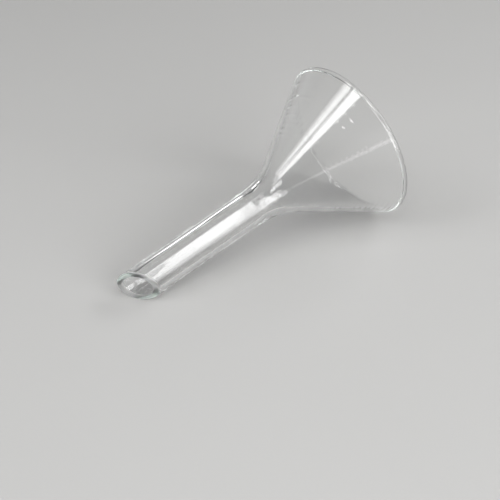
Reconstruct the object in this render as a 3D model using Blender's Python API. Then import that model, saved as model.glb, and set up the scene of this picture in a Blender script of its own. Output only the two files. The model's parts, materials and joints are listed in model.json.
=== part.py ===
# A conical glass funnel with a short stem, lying on a bench on its rim and its stem tip.
# Units are metres, +Z is up and +X points the way the mouth faces.
# The glass is turned about an upright axis first. An empty then lays it down.

import math

import bmesh
import bpy
from mathutils import Vector

# Bowl
RIM_RADIUS = 0.0250
CONE_HALF_ANGLE = math.radians(32.2)
BOWL_WALL = 0.0012
BEAD_RADIUS = 0.0008
BEAD_LAND_HALF_ANGLE = math.radians(18)

# Stem, measured down from the height where the lines of the cone and the stem meet
STEM_LENGTH = 0.0473
STEM_TOP_RADIUS = 0.0054
STEM_TIP_RADIUS = 0.00515
STEM_WALL = 0.0015
TIP_CUT_ANGLE = math.radians(35)
TIP_POLISH = 0.0004

# Neck, the flame-worked flare that joins the two
FLARE_RADIUS = 0.0150
STRAIGHT_END = 0.0004
SEAM_GAP = 0.0003

SIDES = 64
FLARE_STEPS = 6
BEAD_STEPS = 5
POLISH_STEPS = 2

STEM_TAPER = math.atan((STEM_TOP_RADIUS - STEM_TIP_RADIUS) / STEM_LENGTH)
FLARE_TANGENT = FLARE_RADIUS * math.tan((CONE_HALF_ANGLE - STEM_TAPER) / 2)
FLARE_CENTRE = Vector((
    STEM_TOP_RADIUS - FLARE_TANGENT * math.sin(STEM_TAPER) + FLARE_RADIUS * math.cos(STEM_TAPER),
    -FLARE_TANGENT * math.cos(STEM_TAPER) - FLARE_RADIUS * math.sin(STEM_TAPER),
))


def along(turn):
    # The way up a wall that leans out from the axis by this angle, as (radius, height)
    return Vector((math.sin(turn), math.cos(turn)))


def inward(turn):
    # The way through that wall, from its outer skin to its inner one
    return Vector((-math.cos(turn), math.sin(turn)))


def flare_point(turn, depth):
    # On the flare's arc, where the wall leans out by this angle, this deep under the outer skin
    return FLARE_CENTRE + (FLARE_RADIUS + depth) * inward(turn)


def arc(centre, radius, start, end, steps):
    angles = [start + (end - start) * step / steps for step in range(steps + 1)]
    return [centre + radius * Vector((math.cos(angle), math.sin(angle))) for angle in angles]


def bead_centre():
    # The rim's bead touches the outer skin of the cone from inside, so it swells only inwards
    foot = flare_point(CONE_HALF_ANGLE, BEAD_RADIUS)
    climb = (RIM_RADIUS - BEAD_RADIUS - foot.x) / math.sin(CONE_HALF_ANGLE)
    return foot + climb * along(CONE_HALF_ANGLE)


def bowl_profile():
    foot = STRAIGHT_END + SEAM_GAP
    up = along(CONE_HALF_ANGLE)
    outer_foot = flare_point(CONE_HALF_ANGLE, 0) + foot * up
    inner_foot = flare_point(CONE_HALF_ANGLE, STEM_WALL) + foot * up
    centre = bead_centre()
    land_start = math.pi / 2 - BEAD_LAND_HALF_ANGLE
    land_end = math.pi / 2 + BEAD_LAND_HALF_ANGLE
    # The bead ends where its circle crosses the inner skin
    overhang = math.asin((BOWL_WALL - BEAD_RADIUS) / BEAD_RADIUS)
    inner_end = 1.5 * math.pi - CONE_HALF_ANGLE - overhang
    outside = arc(centre, BEAD_RADIUS, -CONE_HALF_ANGLE, land_start, BEAD_STEPS)
    inside = arc(centre, BEAD_RADIUS, land_end, inner_end, BEAD_STEPS)
    return [outer_foot] + outside + inside + [inner_foot]


def neck_profile():
    turns = [STEM_TAPER + (CONE_HALF_ANGLE - STEM_TAPER) * step / FLARE_STEPS for step in range(FLARE_STEPS + 1)]
    sides = []
    for depth in (0, STEM_WALL):
        skin = [flare_point(turn, depth) for turn in turns]
        skin.insert(0, skin[0] - STRAIGHT_END * along(STEM_TAPER))
        skin.append(skin[-1] + STRAIGHT_END * along(CONE_HALF_ANGLE))
        sides.append(skin)
    outer, inner = sides
    return outer + inner[::-1]


def stem_profile():
    # Open at its lower end, which runs past the tip and is cut off at a slant afterwards
    down = -along(STEM_TAPER)
    start = STRAIGHT_END + SEAM_GAP
    spare = STEM_TIP_RADIUS * math.tan(TIP_CUT_ANGLE) * 1.5
    run = start + STEM_LENGTH - FLARE_TANGENT + spare
    outer_top = flare_point(STEM_TAPER, 0)
    inner_top = flare_point(STEM_TAPER, STEM_WALL)
    return [
        outer_top + run * down,
        outer_top + start * down,
        inner_top + start * down,
        inner_top + run * down,
    ]


def turned(profile, closed):
    # Turns a profile of (radius, height) points, with a flat side at the bottom once it lies down
    bm = bmesh.new()
    half_side = math.pi / SIDES
    verts = [
        bm.verts.new((point.x * math.cos(half_side), point.x * math.sin(half_side), point.y))
        for point in profile
    ]
    pairs = list(zip(verts, verts[1:]))
    if closed:
        pairs.append((verts[-1], verts[0]))
    edges = [bm.edges.new(pair) for pair in pairs]
    bmesh.ops.spin(
        bm,
        geom=verts + edges,
        axis=(0, 0, 1),
        cent=(0, 0, 0),
        angle=2 * math.pi,
        steps=SIDES,
        use_merge=True,
    )
    return bm


def cut_tip(bm):
    # Slants the open end so that its +Y side is the longer one, closes it and rounds its two edges
    normal = Vector((0, math.sin(TIP_CUT_ANGLE), math.cos(TIP_CUT_ANGLE)))
    bmesh.ops.bisect_plane(
        bm,
        geom=bm.verts[:] + bm.edges[:] + bm.faces[:],
        plane_co=(0, 0, -STEM_LENGTH),
        plane_no=-normal,
        clear_outer=True,
    )
    rims = [edge for edge in bm.edges if edge.is_boundary]
    bmesh.ops.bridge_loops(bm, edges=rims)
    bmesh.ops.bevel(
        bm,
        geom=rims,
        offset=TIP_POLISH,
        segments=POLISH_STEPS,
        profile=0.5,
        affect="EDGES",
    )


def glass(name, colour):
    material = bpy.data.materials.new(name)
    material.use_nodes = True
    shader = material.node_tree.nodes["Principled BSDF"]
    shader.inputs["Base Color"].default_value = colour
    shader.inputs["Roughness"].default_value = 0.03
    shader.inputs["Metallic"].default_value = 0.0
    shader.inputs["IOR"].default_value = 1.47
    shader.inputs["Transmission Weight"].default_value = 1.0
    return material


def add_piece(name, bm, colour, parent):
    bmesh.ops.recalc_face_normals(bm, faces=bm.faces)
    mesh = bpy.data.meshes.new(name)
    bm.to_mesh(mesh)
    bm.free()
    mesh.shade_smooth()
    mesh.set_sharp_from_angle(angle=math.radians(40))
    mesh.materials.append(glass(name + "_glass", colour))
    piece = bpy.data.objects.new(name, mesh)
    piece.parent = parent
    bpy.context.collection.objects.link(piece)
    return piece


def lay_down(axis, pieces):
    # The straight line that touches the rim's bead and the stem's polished tip becomes the bench
    rim = bead_centre()
    tip_radius = STEM_TIP_RADIUS - TIP_POLISH
    run = rim.y + STEM_LENGTH - TIP_POLISH
    rise = RIM_RADIUS - BEAD_RADIUS - tip_radius
    lean = math.atan(rise / run) + math.asin((BEAD_RADIUS - TIP_POLISH) / math.hypot(run, rise))
    axis.rotation_euler = (0, math.pi / 2 - lean, 0)
    bpy.context.view_layer.update()
    corners = [piece.matrix_world @ vert.co for piece in pieces for vert in piece.data.vertices]
    low = Vector([min(corner[k] for corner in corners) for k in range(3)])
    high = Vector([max(corner[k] for corner in corners) for k in range(3)])
    axis.location = (-(low.x + high.x) / 2, -(low.y + high.y) / 2, -low.z)


for old in list(bpy.data.objects):
    bpy.data.objects.remove(old)

funnel_axis = bpy.data.objects.new("funnel_axis", None)
bpy.context.collection.objects.link(funnel_axis)

stem_mesh = turned(stem_profile(), closed=False)
cut_tip(stem_mesh)

bowl = add_piece("bowl", turned(bowl_profile(), closed=True), (0.93, 0.96, 0.95, 1), funnel_axis)
neck = add_piece("neck", turned(neck_profile(), closed=True), (0.91, 0.95, 0.94, 1), funnel_axis)
stem = add_piece("stem", stem_mesh, (0.90, 0.95, 0.93, 1), funnel_axis)
lay_down(funnel_axis, [bowl, neck, stem])
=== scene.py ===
import json
import math

import bmesh
import bpy
from mathutils import Matrix, Vector, noise


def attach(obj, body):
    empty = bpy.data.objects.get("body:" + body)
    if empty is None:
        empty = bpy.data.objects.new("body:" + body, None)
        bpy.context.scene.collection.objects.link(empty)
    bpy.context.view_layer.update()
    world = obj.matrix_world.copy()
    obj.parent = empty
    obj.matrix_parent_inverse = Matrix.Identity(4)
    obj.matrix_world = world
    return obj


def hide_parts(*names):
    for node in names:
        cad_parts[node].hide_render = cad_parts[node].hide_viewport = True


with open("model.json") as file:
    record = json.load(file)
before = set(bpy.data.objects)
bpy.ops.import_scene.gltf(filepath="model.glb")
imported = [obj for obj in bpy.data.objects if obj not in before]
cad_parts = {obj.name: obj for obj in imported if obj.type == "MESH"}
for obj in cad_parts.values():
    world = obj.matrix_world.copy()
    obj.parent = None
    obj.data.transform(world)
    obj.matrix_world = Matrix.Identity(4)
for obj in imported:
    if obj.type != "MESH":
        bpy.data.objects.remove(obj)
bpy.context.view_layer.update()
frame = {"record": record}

# where the funnel lies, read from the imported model
mounts = {mount["name"]: mount for mount in frame["record"]["mounts"]}
funnelAxis = Vector(mounts["rim_face"]["axis"]).normalized()      # from the stem towards the mouth
acrossAxis = Vector((0, 1, 0))
upFromAxis = funnelAxis.cross(acrossAxis) * -1                    # square to the axis, in the upright plane
if upFromAxis.z < 0:
    upFromAxis = -upFromAxis
print("funnel leans", round(math.degrees(math.asin(funnelAxis.z)), 2), "degrees")


camera = {
    "azimuth": -38.1,
    "elevation": 34.4,
    "distance": 0.332,
    "lens": 79.2,
    "sensor": 36,
    "clip": (0.01, 20),
    "aim": (0.00371, 0.00537, -0.00410),
}


def addCamera(look):
    turn, tilt = math.radians(look["azimuth"]), math.radians(look["elevation"])
    back = Vector((math.sin(turn) * math.cos(tilt), -math.cos(turn) * math.cos(tilt), math.sin(tilt)))
    data = bpy.data.cameras.new("studioCamera")
    data.lens = look["lens"]
    data.sensor_width = look["sensor"]
    data.clip_start, data.clip_end = look["clip"]
    made = bpy.data.objects.new("studioCamera", data)
    made.location = Vector(look["aim"]) + back * look["distance"]
    made.rotation_euler = (-back).to_track_quat("-Z", "Y").to_euler()
    bpy.context.scene.collection.objects.link(made)
    bpy.context.scene.camera = made


addCamera(camera)
print("camera placed")


class Wire:
    # a node's socket that works in sums, each sum adding a Math node
    def __init__(self, graph, socket):
        self.graph, self.socket = graph, socket

    def maths(self, operation, first, second):
        made = self.graph.node("ShaderNodeMath", {"operation": operation}, {0: first, 1: second})
        return self.graph.out(made)

    def __add__(self, other):
        return self.maths("ADD", self, other)

    def __radd__(self, other):
        return self.maths("ADD", other, self)

    def __sub__(self, other):
        return self.maths("SUBTRACT", self, other)

    def __rsub__(self, other):
        return self.maths("SUBTRACT", other, self)

    def __mul__(self, other):
        return self.maths("MULTIPLY", self, other)

    def __rmul__(self, other):
        return self.maths("MULTIPLY", other, self)


class Graph:
    # a material's or the world's nodes
    def __init__(self, tree):
        self.tree = tree
        tree.nodes.clear()

    def node(self, kind, settings=None, sockets=None):
        made = self.tree.nodes.new(kind)
        for name, value in (settings or {}).items():
            if name == "stops":
                for stop, (place, colour) in zip(made.color_ramp.elements, value):
                    stop.position = place
                    stop.color = colour
            else:
                setattr(made, name, value)
        for name, value in (sockets or {}).items():
            socket = self.shown(made.inputs, name)
            if isinstance(value, Wire):
                self.tree.links.new(value.socket, socket)
            else:
                socket.default_value = value
        return made

    def shown(self, sockets, name):
        # a Mix node has several sockets of one name, and only those of its data type are on
        if isinstance(name, int):
            return sockets[name]
        return next(socket for socket in sockets if socket.name == name and socket.enabled)

    def out(self, made, name=0):
        return Wire(self, self.shown(made.outputs, name))

    def noiseAt(self, place, scale, detail):
        made = self.node("ShaderNodeTexNoise", None, {"Vector": place, "Scale": scale, "Detail": detail})
        return self.out(made)


floor = {
    "radius": 0.8,
    "sides": 128,
    "drop": 0.00002,           # just under the glass that rests on it
    "pale": (0.428, 0.426, 0.420, 1),
    "dim": (0.402, 0.400, 0.394, 1),
    "cloudScale": 14.0,
    "grainScale": 1600.0,
    "roughness": 0.82,
    "roughnessSpread": 0.1,
    "grainStrength": 0.15,
    "grainDepth": 0.0001,
}


def floorMaterial(look):
    material = bpy.data.materials.new("studioFloor")
    material.use_nodes = True
    graph = Graph(material.node_tree)
    place = graph.out(graph.node("ShaderNodeTexCoord"), "Object")
    cloudy = graph.noiseAt(place, look["cloudScale"], 4.0)
    grain = graph.noiseAt(place, look["grainScale"], 3.0)
    colour = graph.node("ShaderNodeMix", {"data_type": "RGBA"}, {
        "Factor": cloudy * 0.5 + grain * 0.5,
        "A": look["dim"],
        "B": look["pale"],
    })
    bump = graph.node("ShaderNodeBump", None, {
        "Height": grain,
        "Strength": look["grainStrength"],
        "Distance": look["grainDepth"],
    })
    shader = graph.node("ShaderNodeBsdfPrincipled", None, {
        "Base Color": graph.out(colour, "Result"),
        "Roughness": grain * look["roughnessSpread"] + look["roughness"],
        "Normal": graph.out(bump),
    })
    graph.node("ShaderNodeOutputMaterial", None, {"Surface": graph.out(shader)})
    return material


def addFloor(look):
    bpy.ops.mesh.primitive_circle_add(
        vertices=look["sides"], radius=look["radius"], fill_type="NGON", location=(0, 0, -look["drop"]))
    made = bpy.context.object
    made.name = "studioFloor"
    made.data.materials.append(floorMaterial(look))


addFloor(floor)
print("floor laid")


studio = {
    "skyLow": 0.42,
    "skyHigh": 0.05,
    "skyFade": (0.12, 0.40),   # how high the sky starts to dim, and where it is dimmest
    "bounces": 32,             # light crosses many walls of the funnel before it gets out
    "uprightBelow": 5,         # a panel that starts lower than this stands upright on the floor
    # each panel: azimuth from and to, elevation from and to, reach in metres, brightness
    "panels": {
        "windowTall": (-84, -60, 0, 70, 0.8, 4.8),
        "windowLow": (-113, -84, 0, 37, 0.8, 6.5),
        "sideLeft": (168.5, 184.5, 28, 54, 0.9, 7.5),
        "sideRight": (152, 162.0, 36, 54, 0.9, 6.0),
        "sideFaint": (146, 152, 36, 54, 0.9, 3.0),
        "highSide": (-176, -166, 48, 60, 0.9, 7.5),
        "overCamera": (-157, -115, 44, 57, 0.9, 9.0),
        "backEdge": (64, 76, 0, 10, 1.2, 2.2),
        "overhead": (-88, -30, 66, 82, 1.0, 3.0),
        "mouthSide": (-38, 18, 33, 50, 1.0, 5.0),
        "sill": (-136, -114, 0.5, 4.5, 1.4, 1.8),
    },
}


def fromAngles(azimuth, elevation):
    turn, tilt = math.radians(azimuth), math.radians(elevation)
    return Vector((math.cos(turn) * math.cos(tilt), math.sin(turn) * math.cos(tilt), math.sin(tilt)))


def addPanel(name, upright, azimuthFrom, azimuthTo, elevationFrom, elevationTo, reach, brightness):
    azimuth = (azimuthFrom + azimuthTo) / 2
    halfTurn = math.radians(azimuthTo - azimuthFrom) / 2
    data = bpy.data.lights.new(name, "AREA")
    data.shape = "RECTANGLE"
    if upright:
        low, high = (reach * math.tan(math.radians(angle)) for angle in (elevationFrom, elevationTo))
        data.size, data.size_y = 2 * reach * math.tan(halfTurn), high - low
        place = fromAngles(azimuth, 0) * reach + Vector((0, 0, (low + high) / 2))
        facing = fromAngles(azimuth, 0)
    else:                      # hangs square to the funnel
        facing = fromAngles(azimuth, (elevationFrom + elevationTo) / 2)
        place = facing * reach
        level = math.hypot(facing.x, facing.y)
        data.size = 2 * reach * math.tan(halfTurn) * level
        data.size_y = 2 * reach * math.tan(math.radians(elevationTo - elevationFrom) / 2)
    data.energy = math.pi * brightness * data.size * data.size_y
    panel = bpy.data.objects.new(name, data)
    panel.matrix_world = Matrix.LocRotScale(place, facing.to_track_quat("Z", "Y"), None)
    bpy.context.scene.collection.objects.link(panel)


def addSky(look):
    world = bpy.data.worlds.new("studioWorld")
    world.use_nodes = True
    graph = Graph(world.node_tree)
    place = graph.node("ShaderNodeTexCoord")
    split = graph.node("ShaderNodeSeparateXYZ", None, {0: graph.out(place, "Generated")})
    greys = [(value, value, value, 1) for value in (look["skyLow"], look["skyHigh"])]
    stops = list(zip(look["skyFade"], greys))
    ramp = graph.node("ShaderNodeValToRGB", {"stops": stops}, {0: graph.out(split, "Z")})
    shade = graph.node("ShaderNodeBackground", None, {"Color": graph.out(ramp), "Strength": 1.0})
    graph.node("ShaderNodeOutputWorld", None, {"Surface": graph.out(shade)})
    bpy.context.scene.world = world


def addStudio(look):
    addSky(look)
    for name, panel in look["panels"].items():
        addPanel(name, panel[2] < look["uprightBelow"], *panel)
    scene = bpy.context.scene
    scene.cycles.max_bounces = look["bounces"]
    scene.cycles.glossy_bounces = look["bounces"]
    scene.cycles.transmission_bounces = look["bounces"]
    scene.view_settings.view_transform = "Standard"


addStudio(studio)
print("studio lit")


glass = {
    "mountRadius": 0.0242,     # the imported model's rim, which the record's mount lies on
    "mountHeight": 0.032116,
    "rimRadius": 0.0249,
    "coneHalfAngle": math.radians(32.2),
    "bowlWall": 0.0012,
    "beadRadius": 0.00072,
    "stemLength": 0.0473,
    "stemTopRadius": 0.0054,
    "stemTipRadius": 0.00515,
    "stemWall": 0.0015,
    "tipCut": math.radians(35),
    "tipPolish": 0.0004,
    "slantRun": 0.012,         # rings start to slant this far below the neck
    "flareRadius": 0.0150,
    "sides": 288,
    # rings along each stretch of the wall
    "beadSteps": 40,
    "bowlSteps": 90,
    "insideSteps": 240,        # finer, for the turning marks
    "flareSteps": 40,
    "stemSteps": 100,
    "polishSteps": 8,
    "tipSteps": 6,
    # how deep each unevenness is, how long its waves are, and the heights it grows and fades between
    "waveDepth": 0.00002,      # slow unevenness of the whole wall
    "waveLength": 0.009,
    "sealSwell": 0.00036,      # how far the flame-worked joint stands proud
    "sealZone": (-0.0085, -0.0025, -0.0005, 0.0044),
    "rippleDepth": 0.00003,    # ripples in the joint
    "rippleLength": 0.0009,
    "rippleZone": (-0.0075, -0.0045, 0.0035, 0.0060),
    "drawDepth": 0.000004,     # lines drawn along the stem
    "drawLength": 0.030,
    "drawTop": (-0.009, -0.005),
    "markDepth": 0.000036,     # turning marks inside the bowl
    "markSpacing": 0.0013,
    "markDrift": 0.004,
    "markZone": (0.0020, 0.0220, 0.0300, 0.0310),
}


def along(turn):
    # up a wall that leans out from the axis by this angle, as (radius, height)
    return Vector((math.sin(turn), math.cos(turn)))


def inward(turn):
    # through that wall, from its outer skin to its inner one
    return Vector((-math.cos(turn), math.sin(turn)))


def spread(start, end, steps):
    return [start + (end - start) * step / steps for step in range(steps + 1)]


def arc(centre, radius, start, end, steps):
    angles = spread(start, end, steps)
    return [centre + radius * Vector((math.cos(angle), math.sin(angle))) for angle in angles]


def line(start, end, steps):
    return [start.lerp(end, step / steps) for step in range(steps + 1)]


def ease(value, start, end):
    share = min(1, max(0, (value - start) / (end - start)))
    return share * share * (3 - 2 * share)


def within(value, zone):
    start, full, fading, end = zone
    return ease(value, start, full) * (1 - ease(value, fading, end))


def funnelProfile(size):
    # the loop of the wall from the mouth, down the outside and up the inside, as (point, slant, inner):
    # slant is 0 for a level ring and 1 for the slanted tip, inner is 0 outside, 1 inside and 0.5 on an edge
    cone = size["coneHalfAngle"]
    taper = math.atan((size["stemTopRadius"] - size["stemTipRadius"]) / size["stemLength"])
    tangent = size["flareRadius"] * math.tan((cone - taper) / 2)
    corner = Vector((size["stemTopRadius"], 0))
    centre = corner - along(taper) * tangent - inward(taper) * size["flareRadius"]

    def flare(turn, depth):
        return centre + (size["flareRadius"] + depth) * inward(turn)

    bead = size["beadRadius"]
    foot = flare(cone, bead)
    beadCentre = foot + along(cone) * ((size["rimRadius"] - bead - foot.x) / math.sin(cone))
    overhang = math.asin((size["bowlWall"] - bead) / bead)
    beadArc = arc(beadCentre, bead, -cone, 1.5 * math.pi - cone - overhang, size["beadSteps"])

    loop = []
    for point in line(beadArc[0], flare(cone, 0), size["bowlSteps"])[:-1]:
        loop.append((point, 0, 0))
    for turn in spread(cone, taper, size["flareSteps"]):
        loop.append((flare(turn, 0), 0, 0))

    polish = size["tipPolish"]
    tipOuter = Vector((size["stemTipRadius"], -size["stemLength"]))
    tipInner = Vector((size["stemTipRadius"] - size["stemWall"], -size["stemLength"]))
    outerTop, outerEnd = flare(taper, 0), tipOuter + Vector((0, polish))
    for point in line(outerTop, outerEnd, size["stemSteps"])[1:-1]:
        loop.append((point, ease(point.y, outerTop.y - size["slantRun"], outerEnd.y), 0))

    steps = size["polishSteps"]
    outerRound = arc(tipOuter + Vector((-polish, polish)), polish, 0, -math.pi / 2, steps)
    innerRound = arc(tipInner + Vector((polish, polish)), polish, -math.pi / 2, -math.pi, steps)
    for point in outerRound + line(outerRound[-1], innerRound[0], size["tipSteps"])[1:-1] + innerRound:
        loop.append((point, 1, 0.5))

    innerTop, innerEnd = flare(taper, size["stemWall"]), innerRound[-1]
    for point in line(innerEnd, innerTop, size["stemSteps"])[1:-1]:
        loop.append((point, ease(point.y, innerTop.y - size["slantRun"], innerEnd.y), 1))
    for turn in spread(taper, cone, size["flareSteps"]):
        loop.append((flare(turn, size["stemWall"]), 0, 1))
    for point in line(flare(cone, size["stemWall"]), beadArc[-1], size["insideSteps"])[1:]:
        loop.append((point, 0, 1))
    for point in beadArc[-2:0:-1]:
        loop.append((point, 0, 0.5))
    return loop


def uneven(about, busy, side, layer, climb):
    # smooth noise round the wall, busier with a higher number, different for each side and layer
    return noise.noise(about * busy + Vector((side, layer, climb)))


def turningMark(size, height, about):
    place = height / size["markSpacing"] + 0.5 * uneven(about, 0.8, 0, 4, height / size["markDrift"])
    mark = math.floor(place)
    ridge = math.sin(math.pi * (place - mark)) ** 2
    cut = max(0, 0.45 + 1.5 * uneven(about, 0.9, mark * 3.7, 2, 0))    # some marks run deep, some die out
    return size["markDepth"] * within(height, size["markZone"]) * cut * ridge


def standOff(size, point, inner, angle):
    # how far the worked glass stands off its clean profile, outwards from the axis
    height = point.y
    about = Vector((math.cos(angle), math.sin(angle), 0))
    proud = size["waveDepth"] * uneven(about, 2.2, inner * 7, 3, height / size["waveLength"])
    if inner == 0:
        proud += size["sealSwell"] * within(height, size["sealZone"])
    ripple = uneven(about, 1.7, inner * 5, 1, height / size["rippleLength"])
    proud += size["rippleDepth"] * within(height, size["rippleZone"]) * ripple
    onStem = 1 - ease(height, *size["drawTop"])
    proud += size["drawDepth"] * onStem * uneven(about, 9, inner * 3, 0, height / size["drawLength"])
    if inner == 1:
        proud += turningMark(size, height, about)
    return proud


def layDown(mesh, size):
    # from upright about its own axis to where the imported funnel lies, resting on the floor
    rimMount = Vector(mounts["rim_face"]["pos_m"])
    base = rimMount - upFromAxis * size["mountRadius"] - funnelAxis * size["mountHeight"]
    basis = Matrix((-upFromAxis, acrossAxis, funnelAxis)).transposed()
    mesh.transform(Matrix.LocRotScale(base, basis.to_quaternion(), None))
    mesh.transform(Matrix.Translation((0, 0, -min(vert.co.z for vert in mesh.vertices))))


def addFunnel(size):
    loop = funnelProfile(size)
    sides = size["sides"]
    bm = bmesh.new()
    rings = []
    for point, slant, inner in loop:
        ring = []
        for side in range(sides):
            angle = 2 * math.pi * side / sides
            radius = point.x + standOff(size, point, inner, angle)
            x, y = radius * math.cos(angle), radius * math.sin(angle)
            ring.append(bm.verts.new((x, y, point.y - slant * y * math.tan(size["tipCut"]))))
        rings.append(ring)
    for ring, following in zip(rings, rings[1:] + rings[:1]):
        for side in range(sides):
            after = (side + 1) % sides
            bm.faces.new((ring[side], ring[after], following[after], following[side]))
    bmesh.ops.recalc_face_normals(bm, faces=bm.faces)
    mesh = bpy.data.meshes.new("funnelGlass")
    bm.to_mesh(mesh)
    bm.free()
    mesh.shade_smooth()

    # what the material reads: each point's place before the funnel is laid down, and the ground tip face
    turned = mesh.attributes.new("turned", "FLOAT_VECTOR", "POINT")
    turned.data.foreach_set("vector", [value for vert in mesh.vertices for value in vert.co])
    ground = mesh.attributes.new("ground", "FLOAT", "POINT")
    onTip = [float(slant == 1 and inner == 0.5) for point, slant, inner in loop for side in range(sides)]
    ground.data.foreach_set("value", onTip)

    layDown(mesh, size)
    made = bpy.data.objects.new("funnelGlass", mesh)
    bpy.context.scene.collection.objects.link(made)
    return made


funnel = addFunnel(glass)
print("funnel turned,", len(funnel.data.polygons), "faces")


clear = {
    "refraction": 1.48,
    "hazeScale": 90.0,
    "haze": 0.03,              # roughness where the surface is least clean
    "polish": 0.008,           # taken off it, so that most of the surface is perfectly smooth
    "groundRoughness": 0.42,
    "gritScale": 6000.0,
    "gritStrength": 0.4,
    "gritDepth": 0.00002,
    "tint": (0.84, 0.92, 0.88, 1),
    "tintDensity": 11,
}


def glassMaterial(look):
    material = bpy.data.materials.new("clearGlass")
    material.use_nodes = True
    graph = Graph(material.node_tree)
    place = graph.out(graph.node("ShaderNodeAttribute", {"attribute_name": "turned"}), "Vector")
    ground = graph.out(graph.node("ShaderNodeAttribute", {"attribute_name": "ground"}), "Fac")
    haze = graph.noiseAt(place, look["hazeScale"], 3.0)
    grit = graph.noiseAt(place, look["gritScale"], 2.0)
    bump = graph.node("ShaderNodeBump", None, {
        "Height": grit * ground,
        "Strength": look["gritStrength"],
        "Distance": look["gritDepth"],
    })
    rough = haze * look["haze"] - look["polish"]
    shader = graph.node("ShaderNodeBsdfPrincipled", None, {
        "Base Color": (1, 1, 1, 1),
        "Roughness": rough * (1 - ground) + ground * look["groundRoughness"],
        "IOR": look["refraction"],
        "Transmission Weight": 1.0,
        "Normal": graph.out(bump),
    })
    volume = graph.node("ShaderNodeVolumeAbsorption", None, {
        "Color": look["tint"],
        "Density": look["tintDensity"],
    })
    graph.node("ShaderNodeOutputMaterial", None, {
        "Surface": graph.out(shader),
        "Volume": graph.out(volume),
    })
    return material


funnel.data.materials.append(glassMaterial(clear))
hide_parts("bowl", "neck", "stem")
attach(funnel, "root")
print("glass finished")
